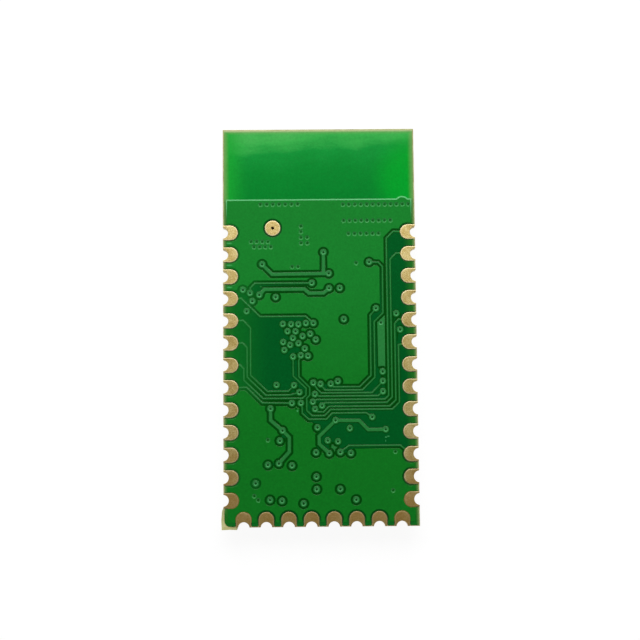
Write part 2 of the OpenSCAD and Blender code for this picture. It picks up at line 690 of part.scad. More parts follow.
// A ball grid chip: substrate, moulding set back from its edge, and a round mark in one corner
module grid_chip(w, l) translate([0, 0, copper_t + ball_h]) difference() {
    union() {
        translate([-w / 2, -l / 2]) cube([w, l, substrate_t]);
        translate([mould_step - w / 2, mould_step - l / 2])
            cube([w - 2 * mould_step, l - 2 * mould_step, chip_t]);
    }
    translate([mark_d - w / 2, l / 2 - mark_d, chip_t - mark_depth]) cylinder(d = mark_d, h = cut);
}

// Solder balls, flattened on the board's lands and on the chip
module balls(places) translate([0, 0, copper_t + ball_h / 2]) at_each(places) intersection() {
    sphere(d = ball_d);
    cube([ball_d, ball_d, ball_h], center = true);
}

module radio_chip() color("dimgray") on_front() translate(radio_at) grid_chip(radio_w, radio_w);
module radio_chip_balls() color("silver") on_front() balls(radio_balls);
module flash_chip() color("dimgray") on_front() translate(flash_at) grid_chip(flash_w, flash_l);
module flash_chip_balls() color("silver") on_front() balls(flash_balls);

// Ceramic base with quarter-round corners, on four feet that stand on its lands
module crystal_base() color("wheat") on_front() translate([0, 0, copper_t]) {
    translate([0, 0, crystal_foot_h]) translate(crystal_at) difference() {
        translate([-crystal_l, -crystal_w] / 2) cube([crystal_l, crystal_w, crystal_base_h]);
        for (i = [-1, 1], j = [-1, 1]) translate([i * crystal_l / 2, j * crystal_w / 2, -cut])
            cylinder(r = crystal_step, h = crystal_base_h + 2 * cut);
    }
    at_crystal_feet() translate(-crystal_foot)
        cube([2 * crystal_foot[0], 2 * crystal_foot[1], crystal_foot_h]);
}

// Metal lid, set back from the base's edge
module crystal_lid() color("silver") on_front() translate([0, 0, copper_t + crystal_foot_h + crystal_base_h])
    translate(crystal_at) linear_extrude(crystal_lid_h)
        square([crystal_l - 2 * crystal_step, crystal_w - 2 * crystal_step], center = true);

// A block with its length along X and its foot on the lands
module block(l, w, h) translate([-l / 2, -w / 2, copper_t]) cube([l, w, h]);

// Ceramic filter between two metal ends
module band_filter() color("ivory") on_front() translate(filter_at) rotate(90) translate([0, 0, cap_proud])
    block(filter_l - 2 * cap_proud, filter_w - 2 * cap_proud, filter_h - 2 * cap_proud);

module band_filter_ends() color("silver") on_front() translate(filter_at) rotate(90) difference() {
    block(filter_l, filter_w, filter_h);
    block(filter_l - 2 * cap_l, filter_w + cut, filter_h + cut);
    translate([0, 0, cap_proud])
        block(filter_l - 2 * cap_proud, filter_w - 2 * cap_proud, filter_h - 2 * cap_proud);
}

// Moulded body with drafted sides and a straight band where the leads come out
module regulator_body() color("dimgray") on_front() translate(regulator_at) rotate([90, 0, 0])
    translate([0, 0, -regulator_l / 2]) linear_extrude(regulator_l) polygon([
        for (s = [-1, 1]) for (p = s < 0 ? body_side : backward(body_side)) [s * p[0], p[1]]
    ]);

// Gull-wing leads from the body's band down to the lands
module regulator_leads() color("silver") on_front() at_leads() rotate([90, 0, 0])
    translate([0, 0, -lead_w / 2]) linear_extrude(lead_w) polygon([
        [regulator_span / 2, copper_t],
        [regulator_span / 2, copper_t + lead_t],
        [regulator_span / 2 - lead_foot, copper_t + lead_t],
        [regulator_w / 2 + lead_t, band_h + lead_t],
        [regulator_w / 2, band_h + lead_t],
        [regulator_w / 2, band_h],
        [regulator_w / 2 + lead_t / 2, band_h],
        [regulator_span / 2 - lead_foot - lead_t / 2, copper_t]
    ]);

// A small part: a body between two metal end caps that stand proud of it
module capped_part(l, w, h) {
    translate([0, 0, cap_proud]) block(l - cap_l, w - 2 * cap_proud, h - 2 * cap_proud);
    for (end = [-1, 1]) translate([end * (l - cap_l) / 2, 0]) block(cap_l, w, h);
}

module capacitor(place) color("tan") on_front() translate(place) capped_part(small_l, small_w, small_h);
module large_capacitor(place) color("tan") on_front() translate(place) capped_part(large_l, large_w, large_h);
module resistor(place) color("black") on_front() translate(place) capped_part(small_l, small_w, resistor_h);
module inductor(place) color("lightblue") on_front() translate(place) capped_part(small_l, small_w, small_h);

laminate();
back_copper();
back_mask();
front_copper();
front_mask();
left_contacts();
right_contacts();
end_contacts();
test_pad();
radio_chip();
radio_chip_balls();
flash_chip();
flash_chip_balls();
crystal_base();
crystal_lid();
band_filter();
band_filter_ends();
regulator_body();
regulator_leads();
for (i = [1 : len(capacitors)])
    capacitor(capacitors[i - 1]);
for (i = [1 : len(large_capacitors)])
    large_capacitor(large_capacitors[i - 1]);
for (i = [1 : len(resistors)])
    resistor(resistors[i - 1]);
for (i = [1 : len(inductors)])
    inductor(inductors[i - 1]);
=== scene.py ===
import math

import bmesh
import bpy
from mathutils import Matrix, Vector, geometry, kdtree


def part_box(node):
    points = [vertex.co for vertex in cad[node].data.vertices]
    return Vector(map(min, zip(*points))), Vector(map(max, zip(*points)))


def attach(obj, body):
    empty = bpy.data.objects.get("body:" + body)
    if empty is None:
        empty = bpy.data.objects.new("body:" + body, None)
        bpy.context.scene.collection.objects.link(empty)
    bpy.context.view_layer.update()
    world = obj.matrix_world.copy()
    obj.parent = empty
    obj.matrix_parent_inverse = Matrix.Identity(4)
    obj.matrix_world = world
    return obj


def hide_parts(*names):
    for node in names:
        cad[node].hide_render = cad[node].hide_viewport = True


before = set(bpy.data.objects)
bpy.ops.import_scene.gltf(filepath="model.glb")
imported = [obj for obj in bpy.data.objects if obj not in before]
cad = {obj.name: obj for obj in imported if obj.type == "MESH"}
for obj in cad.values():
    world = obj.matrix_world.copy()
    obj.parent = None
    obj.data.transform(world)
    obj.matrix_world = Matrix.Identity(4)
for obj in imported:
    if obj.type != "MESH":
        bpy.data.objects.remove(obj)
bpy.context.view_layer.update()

# The board: a glass-epoxy laminate, routed to size, its half holes drilled before the cut, and broken out of
# its panel at one corner. The CAD node stays. Its rim and its edges show the strands of the glass cloth. Its
# face inside the mask's edge is darker with painted shade.

MM = 0.001
RIM_FADE = 0.04
BREAK_REACH = 0.8
SPOT_CORE = 0.4


def srgb(red, green, blue):
    """Gives a shader's linear colour for a display colour of 0 to 255."""
    levels = (level / 255 for level in (red, green, blue))
    return [*(v / 12.92 if v <= 0.04045 else ((v + 0.055) / 1.055) ** 2.4 for v in levels), 1]


class Finish:
    """A procedural material, made from places on the object in millimetres."""

    def __init__(self, name, **shader):
        self.material = bpy.data.materials.new(name)
        self.material.use_nodes = True
        self.tree = self.material.node_tree
        self.shader = self.tree.nodes["Principled BSDF"]
        place = self.add("TexCoord").outputs["Object"]
        self.place = self.add("VectorMath", {"Vector": place, "Scale": 1 / MM}, operation="SCALE").outputs[0]
        axes = self.add("SeparateXYZ", {"Vector": self.place}).outputs
        self.x, self.y, self.z = axes["X"], axes["Y"], axes["Z"]
        for key, value in shader.items():
            self.feed(self.shader.inputs[key.replace("_", " ")], value)

    def feed(self, socket, value):
        """Links an output to a socket, or sets a plain value on it."""
        if isinstance(value, bpy.types.NodeSocket):
            self.tree.links.new(value, socket)
        else:
            socket.default_value = value

    def add(self, kind, inputs=(), **settings):
        """A new shader node, with its inputs fed and its settings made."""
        node = self.tree.nodes.new("ShaderNode" + kind)
        for key, value in settings.items():
            setattr(node, key, value)
        for key, value in dict(inputs).items():
            self.feed(node.inputs[key], value)
        return node

    def noise(self, scale, detail=2.0, stretch=(1, 1, 1)):
        """Noise of so many cells per millimetre, squeezed by a share along each axis."""
        place = self.add("VectorMath", {0: self.place, 1: stretch}, operation="MULTIPLY").outputs[0]
        return self.add("TexNoise", {"Vector": place, "Scale": scale, "Detail": detail}).outputs["Fac"]

    def sum(self, value, weight, other):
        """The other value plus a weighted one."""
        return self.add("Math", {0: value, 1: weight, 2: other}, operation="MULTIPLY_ADD").outputs[0]

    def both(self, first, second):
        """The product of two values."""
        return self.add("Math", {0: first, 1: second}, operation="MULTIPLY").outputs[0]

    def most(self, first, second):
        """The greater of two values."""
        return self.add("Math", {0: first, 1: second}, operation="MAXIMUM").outputs[0]

    def unsigned(self, value):
        """The value without its sign."""
        return self.add("Math", {0: value}, operation="ABSOLUTE").outputs[0]

    def span(self, value, start, end):
        """A soft step from 0 at the start to 1 at the end."""
        limits = {"Value": value, "From Min": start, "From Max": end}
        return self.add("MapRange", limits, interpolation_type="SMOOTHSTEP").outputs["Result"]

    def mix(self, share, first, second):
        """The first colour, with a share of the second."""
        return self.add("Mix", {0: share, 6: first, 7: second}, data_type="RGBA").outputs[2]

    def ramp(self, value, stops):
        """Colours at given values, blended between them."""
        low, high = stops[0][0], stops[-1][0]
        scaled = self.add("MapRange", {"Value": value, "From Min": low, "From Max": high}).outputs["Result"]
        node = self.add("ValToRGB", {"Fac": scaled})
        elements = node.color_ramp.elements
        while len(elements) < len(stops):
            elements.new(0.5)
        for element, (at, colour) in zip(elements, stops):
            element.position = (at - low) / (high - low)
            element.color = colour
        return node.outputs["Color"]

    def spot(self, x, y, across, along):
        """A soft oval patch on the board's face, 1 in its middle."""
        move = self.add("VectorMath", {0: self.place, 1: (x, y, 0)}, operation="SUBTRACT").outputs[0]
        stretch = (1 / across, 1 / along, 0)
        oval = self.add("VectorMath", {0: move, 1: stretch}, operation="MULTIPLY").outputs[0]
        away = self.add("VectorMath", {0: oval}, operation="LENGTH").outputs["Value"]
        return self.span(away, 1.0, SPOT_CORE)

    def bump(self, height, depth):
        """Relief of a depth in millimetres."""
        node = self.add("Bump", {"Height": height, "Distance": depth * MM, "Strength": 1.0})
        self.feed(self.shader.inputs["Normal"], node.outputs["Normal"])

    def colour(self, value):
        """Sets the base colour."""
        self.feed(self.shader.inputs["Base Color"], value)

    def rough(self, value, least, most):
        """Sets the roughness between two limits, by a value."""
        limits = {"Value": value, "To Min": least, "To Max": most}
        self.feed(self.shader.inputs["Roughness"], self.add("MapRange", limits).outputs["Result"])


def dress(obj, finish):
    """Gives an object one material."""
    obj.data.materials.clear()
    obj.data.materials.append(finish.material)


fr4 = Finish("laminate_fr4", Roughness=0.75)
strands = fr4.noise(2.2, 4, (0.7, 0.7, 20))
resin = fr4.ramp(strands, [
    (0.28, srgb(150, 145, 86)),
    (0.5, srgb(182, 179, 120)),
    (0.72, srgb(210, 208, 162)),
])
speck = fr4.noise(26, 2)
resin = fr4.mix(fr4.span(speck, 0.55, 0.75), resin, srgb(222, 220, 178))
mask_low, mask_high = (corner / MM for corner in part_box("back_mask"))
# Painted shade: the laminate's face is darker inside the mask's edge, where it shows in the mask's windows,
# but not at the broken corner.
window_shade_x = fr4.span(fr4.unsigned(fr4.x), mask_high.x, mask_high.x - RIM_FADE)
window_shade_y = fr4.span(fr4.unsigned(fr4.y), mask_high.y, mask_high.y - RIM_FADE)
broken = fr4.spot(mask_low.x, mask_low.y, BREAK_REACH, BREAK_REACH)
window_shade = fr4.both(fr4.both(window_shade_x, window_shade_y), fr4.sum(broken, -1, 1))
resin = fr4.mix(fr4.both(broken, 0.5), resin, srgb(216, 212, 142))
fr4.colour(fr4.mix(window_shade, resin, srgb(58, 66, 24)))
fr4.bump(fr4.sum(speck, 0.4, strands), 0.012)
dress(cad["laminate"], fr4)

# The copper: rolled foil on both faces of the board, etched to a ground pour, tracks and lands. Nearly all of
# it lies under the mask. What the mask leaves open is plated with immersion gold, like the contacts.

PLATED_FROM = 1.35
PLATED_FULL = 1.25

foil = Finish("copper_foil", Metallic=1.0)
grain = foil.noise(7, 3, (1, 0.15, 1))
rolled = foil.ramp(grain, [(0.3, srgb(176, 98, 62)), (0.7, srgb(214, 134, 92))])
row_side = foil.span(foil.unsigned(foil.x), mask_high.x - PLATED_FROM, mask_high.x - PLATED_FULL)
row_end = foil.span(foil.y, mask_low.y + PLATED_FROM, mask_low.y + PLATED_FULL)
foil.colour(foil.mix(foil.most(row_side, row_end), rolled, srgb(176, 146, 78)))
foil.rough(grain, 0.32, 0.5)
dress(cad["back_copper"], foil)

lands = Finish("plated_lands", Metallic=1.0)
wear = lands.noise(3, 4)
lands.colour(lands.ramp(wear, [(0.3, srgb(188, 158, 92)), (0.7, srgb(222, 194, 128))]))
lands.rough(wear, 0.28, 0.42)
dress(cad["front_copper"], lands)

# The solder mask: green lacquer, screened over both faces and cured. It runs over each copper edge in a soft
# slope and sinks into each via. Over copper it is lighter than over bare laminate, and lightest where it is
# thinnest. Its colour also holds painted light: the pour lighter towards the antenna end, light through the
# laminate near the board's edges and at the antenna end, a lit top edge, highlights on the pour's open edges
# and between the upper pads, and shade in the via pits. Both sides are copies of the CAD nodes, with their
# upright steps drawn out to slopes and bowls.

# Marks of the lacquer at each vertex. Rim marks thin lacquer round a via and a painted highlight on the
# pour's open edges; pit marks painted shade in a via.
TRAITS = "cover", "thin", "rim", "foot", "pit"

# How the CAD mask is read: welds, heights over the laminate's face, and limits of a normal's height.
WELD = 0.0002 * MM
NEEDLE = 0.001 * MM
TINY = 1e-6
MASK_STEP = 0.038 * MM
BOWL_FLOOR = 0.0415 * MM
OVER_COPPER = 0.055 * MM
THIN_AREA = 2.6 * MM * MM
UPRIGHT = 0.1
LEVEL = 0.9
SLOPED = 0.3

# How walls that face each other are found.
LOOK = 0.05 * MM
GROOVE = 0.2 * MM
AGAINST = -0.3
FOLDED = -0.5

# How far slopes, bowls and feet reach, which share of the free room they take, and how they are marked.
SLOPE_REACH = 0.022 * MM
SLOPE_TURN = math.radians(32)
NARROW_BACK = 0.045 * MM
OPEN_REACH = 0.13 * MM
OPEN_FROM = 6.5 * MM
BOWL_OUT = 0.03 * MM
BOWL_BACK = 0.09 * MM
BOWL_TURN = math.radians(50)
FOOT_REACH = 0.08 * MM
FOOT_END = 0.25
BACK_SHARE = 0.4
FRONT_SHARE = 0.25
OPEN_SHARE = 0.5
FOOT_SHARE = 0.05
SLOPE_COVER = 0.3
OPEN_COVER = 0.5
SLOPE_FOOT = 0.7
NARROW_RIM = 0.5
POUR_RIM = 0.28
DARK_STEP = 0.9

# Where the lacquer's colour changes: places and sizes in millimetres.
POUR_TOP = 8.5
GLINT_X = -6.08
GLINTS_Y = 5.59, 4.09, 2.59
GLINT_SIZE = 0.26, 0.06
NICK = -1.65, -5.63, 0.1, 0.09
SCUFFS = (
    (-1.55, -5.77, 0.08, 0.1),
    (4.33, -7.565, 0.1, 0.055),
    (4.49, -7.505, 0.12, 0.05),
    (4.31, -7.81, 0.03, 0.1),
)


def lean_of(normals):
    """The mitred direction of a wall corner, from the normals of the walls that meet there."""
    if len(normals) == 2 and normals[0].dot(normals[1]) > FOLDED:
        return (normals[0] + normals[1]) / (1 + normals[0].dot(normals[1]))
    total = sum(normals, Vector((0, 0)))
    return total.normalized() if total.length > TINY else normals[0]


def wall_ends(wall):
    """The two places on the board that an upright face stands between."""
    return frozenset(tuple(vert.co.xy) for vert in wall.verts)


class MaskSteps:
    """The upright steps of a mask, by their ends and corners, with the free room before and behind them."""

    def __init__(self, bm, height):
        upright = [f for f in bm.faces if abs(f.normal.z) < UPRIGHT]
        self.faces = [f for f in upright if min(map(height, f.verts)) > MASK_STEP]
        self.columns, self.walls, self.corners = {}, {}, {}
        for step in self.faces:
            for vert in step.verts:
                pair = self.columns.setdefault(tuple(vert.co.xy), [vert, vert])
                pair[:] = min(pair[0], vert, key=height), max(pair[1], vert, key=height)
            ends = wall_ends(step)
            if len(ends) == 2:
                self.walls[ends] = step.normal.xy.normalized()
        limits = {}
        for wall in upright:
            ends = wall_ends(wall)
            if len(ends) == 2 and min(map(height, wall.verts)) <= MASK_STEP:
                limits[ends] = -wall.normal.xy.normalized()
        self.sample([*self.walls.items(), *limits.items()])
        for ends, normal in self.walls.items():
            front = self.least_room(ends, normal, normal)
            rear = self.least_room(ends, normal, -normal)
            for spot in ends:
                self.corners.setdefault(spot, []).append((normal, front, rear))

    def sample(self, walls):
        """Notes places along all walls, for the search of walls that face each other."""
        samples = []
        for ends, normal in walls:
            first, last = (Vector(spot) for spot in ends)
            count = max(1, math.ceil((last - first).length / LOOK))
            samples += [(first.lerp(last, i / count), normal) for i in range(count + 1)]
        self.facings = [normal for spot, normal in samples]
        self.tree = kdtree.KDTree(len(samples))
        for index, (spot, normal) in enumerate(samples):
            self.tree.insert((*spot, 0), index)
        self.tree.balance()

    def room(self, spot, lean, way):
        """The distance along a way to the nearest wall that leans against this one."""
        nearest = GROOVE
        for place, index, distance in self.tree.find_range((*spot, 0), GROOVE):
            if self.facings[index].dot(lean) < AGAINST and (Vector(place).xy - spot).dot(way) > 0:
                nearest = min(nearest, distance)
        return nearest

    def least_room(self, ends, lean, way):
        """The least such distance along a long wall, between its ends."""
        first, last = (Vector(spot) for spot in ends)
        count = math.ceil((last - first).length / LOOK)
        places = [first.lerp(last, i / count) for i in range(1, count)]
        return min((self.room(spot, lean, way) for spot in places), default=GROOVE)


def mark_narrow(tops, thin):
    """Marks the vertices of each top face group that is small: tracks, lands and slivers of the pour."""
    waiting = set(tops)
    while waiting:
        island, reached = [], [waiting.pop()]
        while reached:
            face = reached.pop()
            island.append(face)
            near = {other for line in face.edges for other in line.link_faces} & waiting
            waiting -= near
            reached += near
        if sum(face.calc_area() for face in island) < THIN_AREA:
            for vert in {vert for face in island for vert in face.verts}:
                vert[thin] = 1


def refill(bm, flat, up):
    """Fills a flat again between its borders, which have moved.

    A triangle is inside where an odd number of borders lies between it and the outside.
    """
    inside = set(flat)
    level = flat[0].verts[0].co.z
    lines = list(dict.fromkeys(edge for face in flat for edge in face.edges))
    border = [edge for edge in lines if sum(face in inside for face in edge.link_faces) == 1]
    inner = [edge for edge in lines if sum(face in inside for face in edge.link_faces) == 2]
    bmesh.ops.delete(bm, geom=flat, context="FACES_ONLY")
    bmesh.ops.delete(bm, geom=inner, context="EDGES")
    verts = list(dict.fromkeys(vert for edge in border for vert in edge.verts))
    place = {vert: i for i, vert in enumerate(verts)}
    ends = [tuple(place[vert] for vert in edge.verts) for edge in border]
    spots, pairs, nets, sources, origins, _ = geometry.delaunay_2d_cdt(
        [vert.co.xy / MM for vert in verts], ends, [], 0, TINY, True
    )
    fences = {frozenset(pair) for pair, origin in zip(pairs, origins) if len(origin) % 2}
    nets = [tuple(net) for net in nets]
    sides = {}
    for net in nets:
        for i in range(3):
            sides.setdefault(frozenset((net[i - 1], net[i])), []).append(net)
    filled = {}
    queue = [(near[0], pair in fences) for pair, near in sides.items() if len(near) == 1]
    while queue:
        net, full = queue.pop()
        if net in filled:
            continue
        filled[net] = full
        for i in range(3):
            pair = frozenset((net[i - 1], net[i]))
            queue += [(other, full != (pair in fences)) for other in sides[pair] if other not in filled]
    fresh = [
        verts[source[0]] if source else bm.verts.new((*(spot * MM), level))
        for spot, source in zip(spots, sources)
    ]
    for net in nets:
        if filled[net]:
            bm.faces.new([fresh[i] for i in net[::up]])


def confine(bm, foot):
    """Cuts the edges that lead from a groove to open floor, so that its shade ends near it."""
    cuts = []
    for edge in [e for e in bm.edges if abs(e.verts[0][foot] - e.verts[1][foot]) > DARK_STEP]:
        length = edge.calc_length()
        if length > 2 * FOOT_REACH and all(abs(face.normal.z) > LEVEL for face in edge.link_faces):
            dark = max(edge.verts, key=lambda vert: vert[foot])
            cut = bmesh.utils.edge_split(edge, dark, FOOT_REACH / length)[1]
            cut[foot] = 0
            cuts.append(cut)
    bmesh.ops.connect_verts(bm, verts=cuts)


def slope_corner(bm, layers, steps, spot, up, height):
    """Draws the two vertices at a step's corner out to a row: foot, base, middle and top, or a bowl's three.

    Gives the row, the direction that it leans in, and the turn of its middle from level.
    """
    cover, thin, rim, foot, pit = layers.values()
    low, high = steps.columns[spot]
    normals, fronts, rears = zip(*steps.corners[spot])
    lean, here = lean_of(normals), Vector(spot)
    facing = steps.room(here, lean, lean)
    backing = steps.room(here, lean, -lean)
    ahead, behind = min(facing, *fronts), min(backing, *rears)
    bowl = height(low) < BOWL_FLOOR
    open_edge = facing == backing == GROOVE and here.y > OPEN_FROM and not high[thin]
    out = BOWL_OUT if bowl else OPEN_REACH if open_edge else SLOPE_REACH
    back = BOWL_BACK if bowl else NARROW_BACK if high[thin] else SLOPE_REACH
    share = OPEN_SHARE if open_edge and up > 0 else FRONT_SHARE
    high.co.xy = here - lean * min(back, BACK_SHARE * behind)
    low.co.xy = here + lean * min(out, share * ahead)
    middle = bm.verts.new((low.co + high.co) / 2)
    middle[thin] = high[thin]
    if bowl:
        # A bowl's floor is marked as a pit, which the lacquer's colour darkens with painted shade.
        low[cover] = middle[cover] = low[pit] = 1
        low[thin] = high[thin]
        middle[rim] = NARROW_RIM if high[thin] else POUR_RIM
        return (low, middle, high), lean, BOWL_TURN
    base = bm.verts.new(low.co)
    reach = FOOT_REACH if len(normals) > 1 else FOOT_REACH * FOOT_END
    low.co.xy = here + lean * min(out + reach, (share + FOOT_SHARE) * ahead)
    middle[cover] = OPEN_COVER if open_edge else SLOPE_COVER
    # On an open edge of the pour, the rim mark carries a painted highlight.
    middle[rim] = float(open_edge)
    middle[foot] = 0.0 if open_edge else SLOPE_FOOT
    base[foot] = 1
    low[foot] = float(facing < GROOVE)
    return (low, base, middle, high), lean, SLOPE_TURN


def shade_slopes(mesh, tilts, up):
    """Shades the flats as flat and the slopes as round, by the tilt at the middle of each."""
    mesh.polygons.foreach_set("use_smooth", [True] * len(mesh.polygons))
    flat = Vector((0, 0, up))
    shade = [flat] * len(mesh.loops)
    for polygon in mesh.polygons:
        sloped = up * polygon.normal.z > SLOPED
        for loop in polygon.loop_indices:
            vert = mesh.loops[loop].vertex_index
            shade[loop] = tilts.get(vert, flat) if sloped else polygon.normal
    mesh.normals_split_custom_set(shade)


def linked(name, data):
    """A new object in the scene."""
    piece = bpy.data.objects.new(name, data)
    bpy.context.collection.objects.link(piece)
    return piece


def mask_relief(node, name, up):
    """Copies a mask node, turns its low upright steps into smooth slopes and its via walls into bowls.

    Vertex attributes say where the lacquer covers copper, where that copper is narrow, and where the lacquer
    pools at a foot, thins at a via's rim or sinks into a via's pit. The rim attribute also marks a painted
    highlight along the pour's open edges, and the pit attribute marks painted shade.
    """
    low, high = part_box(node)
    face_z = low.z if up > 0 else high.z
    bm = bmesh.new()
    bm.from_mesh(cad[node].data)
    layers = {title: bm.verts.layers.float.new(title) for title in TRAITS}
    cover, thin, foot = layers["cover"], layers["thin"], layers["foot"]
    bmesh.ops.remove_doubles(bm, verts=bm.verts, dist=WELD)
    bm.normal_update()

    def height(vert):
        return up * (vert.co.z - face_z)

    steps = MaskSteps(bm, height)
    bmesh.ops.delete(bm, geom=steps.faces, context="FACES")
    for vert in bm.verts:
        vert[cover] = float(height(vert) > OVER_COPPER)
    level = [f for f in bm.faces if up * f.normal.z > LEVEL and min(map(height, f.verts)) > BOWL_FLOOR]
    tops = [f for f in level if min(vert[cover] for vert in f.verts) > 0]
    floors = [f for f in level if max(vert[cover] for vert in f.verts) == 0]
    mark_narrow(tops, thin)

    rows, leans = {}, {}
    for spot in steps.corners:
        rows[spot], lean, turn = slope_corner(bm, layers, steps, spot, up, height)
        middle = rows[spot][-2]
        leans[middle] = lean.normalized(), turn
    for ends in steps.walls:
        first, last = (rows[spot] for spot in ends)
        for i in range(len(first) - 1):
            bm.faces.new((first[i], last[i], last[i + 1], first[i + 1]))
    refill(bm, tops, up)
    refill(bm, floors, up)
    bmesh.ops.holes_fill(bm, edges=[edge for edge in bm.edges if edge.is_boundary])
    bm.normal_update()
    confine(bm, foot)
    bmesh.ops.dissolve_degenerate(bm, dist=NEEDLE, edges=bm.edges)
    bmesh.ops.recalc_face_normals(bm, faces=bm.faces)

    bm.verts.index_update()
    tilts = {
        vert.index: Vector((*(lean * math.sin(turn)), up * math.cos(turn)))
        for vert, (lean, turn) in leans.items() if vert.is_valid
    }
    mesh = bpy.data.meshes.new(name)
    bm.to_mesh(mesh)
    bm.free()
    shade_slopes(mesh, tilts, up)
    piece = linked(name, mesh)
    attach(piece, "root")
    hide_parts(node)
    return piece


mask = Finish("green_lacquer", Specular_IOR_Level=0.11)
cover, thin, rim, foot, pit = (
    mask.add("Attribute", attribute_name=title).outputs["Fac"] for title in TRAITS
)
# Painted light: the pour grows lighter towards the antenna end, where the key light stands, with an uneven
# border from the cloud noise.
cloud = mask.noise(0.5, 3)
pour = mask.mix(mask.span(mask.sum(cloud, 4, mask.y), -6, 7), srgb(18, 120, 33), srgb(26, 131, 45))
pour = mask.mix(mask.both(thin, 0.55), pour, srgb(56, 136, 76))
# Painted shade: the lacquer is darker in the via pits.
pour = mask.mix(mask.both(pit, mask.sum(thin, 0.25, 0.6)), pour, srgb(0, 64, 2))
bare = mask.mix(foot, srgb(0, 90, 33), srgb(0, 72, 8))

# Painted light through the laminate at the antenna end, where no copper lies on either face: lighter towards
# the top edge, the left edge and a patch on the right, over the glass weave.
weave = mask.noise(1.7, 2, (0.3, 1, 1))
drift = mask.sum(mask.noise(0.3, 1), 1.4, mask.sum(weave, 1.2, mask.sum(mask.x, -0.05, mask.y)))
clear = mask.ramp(drift, [
    (9.6, srgb(4, 128, 42)),
    (12.0, srgb(6, 136, 46)),
    (13.2, srgb(16, 148, 56)),
    (14.0, srgb(56, 174, 75)),
    (14.8, srgb(72, 180, 84)),
])
clear = mask.mix(mask.spot(6.6, 9.9, 3.4, 3.8), clear, srgb(0, 160, 42))
clear = mask.mix(mask.span(mask.x, -4.6, -6.6), clear, srgb(24, 166, 50))

front_low, front_high = (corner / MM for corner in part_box("front_mask"))
out_x = mask.unsigned(mask.x)
# Painted light through the laminate: the bare lacquer is lighter near the side edges and the contact end,
# where no copper lies behind it. It is also lighter towards the left.
pale_left = mask.span(mask.x, -3.0, -6.2)
lit_side_edges = mask.span(out_x, front_high.x - 0.8, front_high.x - 0.1)
lit_contact_end = mask.span(mask.y, front_low.y + 0.6, front_low.y + 0.1)
bare = mask.mix(mask.both(pale_left, 0.9), bare, srgb(14, 112, 35))
bare = mask.mix(mask.both(lit_side_edges, 0.85), bare, srgb(38, 116, 36))
bare = mask.mix(mask.both(lit_contact_end, 0.85), bare, srgb(16, 112, 36))
# Over the antenna end, the bare lacquer takes that painted light.
bare = mask.mix(mask.span(mask.y, POUR_TOP - 0.04, POUR_TOP + 0.16), bare, clear)
green = mask.mix(cover, bare, pour)
# Lighter lacquer at the via rims, where it is thin, and a painted highlight along the pour's open edges.
green = mask.mix(rim, green, srgb(104, 204, 132))

# Painted light: light through the laminate's edges glows along the sides beyond the pour, along the side
# edges and at the top end, less at the broken corner.
past_pour = mask.span(mask.y, POUR_TOP - 0.2, POUR_TOP + 0.2)
far_side = mask.both(mask.span(out_x, front_high.x - 0.4, front_high.x + 0.1), past_pour)
near_side = mask.span(out_x, front_high.x - 0.2, front_high.x + 0.06)
tip = mask.span(mask.y, front_high.y - 0.35, front_high.y + 0.1)
edge_glow = mask.most(mask.most(far_side, near_side), tip)
stub = mask.spot(front_low.x, front_low.y, 1.1, 1.6)
green = mask.mix(mask.both(mask.sum(stub, -0.85, 0.85), edge_glow), green, srgb(130, 160, 98))
# Painted highlight: the top edge at the antenna end is pale where the key light strikes it.
lit_top_edge = mask.span(mask.y, front_high.y - 0.16, front_high.y)
green = mask.mix(mask.both(lit_top_edge, 0.7), green, srgb(206, 212, 164))
mottle = mask.add("MapRange", {"Value": mask.noise(8, 3), "To Min": 0.8, "To Max": 1.2}).outputs["Result"]
green = mask.add("VectorMath", {0: green, "Scale": mottle}, operation="SCALE").outputs[0]
# Painted highlights: glints on the lacquer between the upper pads near the left edge.
for y in GLINTS_Y:
    green = mask.mix(mask.both(mask.spot(GLINT_X, y, *GLINT_SIZE), 0.5), green, srgb(98, 196, 122))
green = mask.mix(mask.spot(*NICK), green, srgb(0, 82, 14))
for scuff in SCUFFS:
    green = mask.mix(mask.both(mask.spot(*scuff), 0.7), green, srgb(78, 172, 106))
mask.colour(green)
peel = mask.noise(5.5, 3)
mask.rough(mask.sum(foot, 1.2, peel), 0.12, 0.21)
mask.bump(peel, 0.0012)

dress(mask_relief("back_mask", "back_mask_lacquer", 1), mask)
dress(mask_relief("front_mask", "front_mask_lacquer", -1), mask)

# The edge contacts: 34 half holes, each plated through with a round-ended pad on both faces, in copper under
# immersion gold. One contact is lofted along its half hole, then a geometry tree repeats it along each edge.

SIDE_COUNT = 13
END_COUNT = 8
CONTACT_WIDTH = 1.0 * MM
NOTCH_RADIUS = 0.39 * MM
NOTCH_OUT = 0.04 * MM
LINING = 0.03 * MM
PAD = 0.035 * MM
PAD_ROUND = 0.014 * MM
BRIM = 0.07 * MM
RIM_POINTS = 2, 3, 6, 7
STRAIGHT_STEPS = 5
ROUND_STEPS = 20
PATH_STEPS = ROUND_STEPS + 2 * STRAIGHT_STEPS
SHARP = 0.9


def even_shade(mesh):
    """Shades each vertex by the area of its faces, so that flats stay flat and small rounds look round."""
    normals = [Vector() for vertex in mesh.vertices]
    for polygon in mesh.polygons:
        for index in polygon.vertices:
            normals[index] += polygon.normal * polygon.area
    mesh.polygons.foreach_set("use_smooth", [True] * len(mesh.polygons))
    mesh.normals_split_custom_set_from_vertices([normal.normalized() for normal in normals])


def round_edges(bm, angle, reach, segments):
    """Rounds the edges that turn by more than an angle."""
    sharp = [edge for edge in bm.edges if edge.calc_face_angle(0) > angle]
    bmesh.ops.bevel(
        bm, geom=sharp, offset=reach, segments=segments, profile=0.5, affect="EDGES", clamp_overlap=True
    )


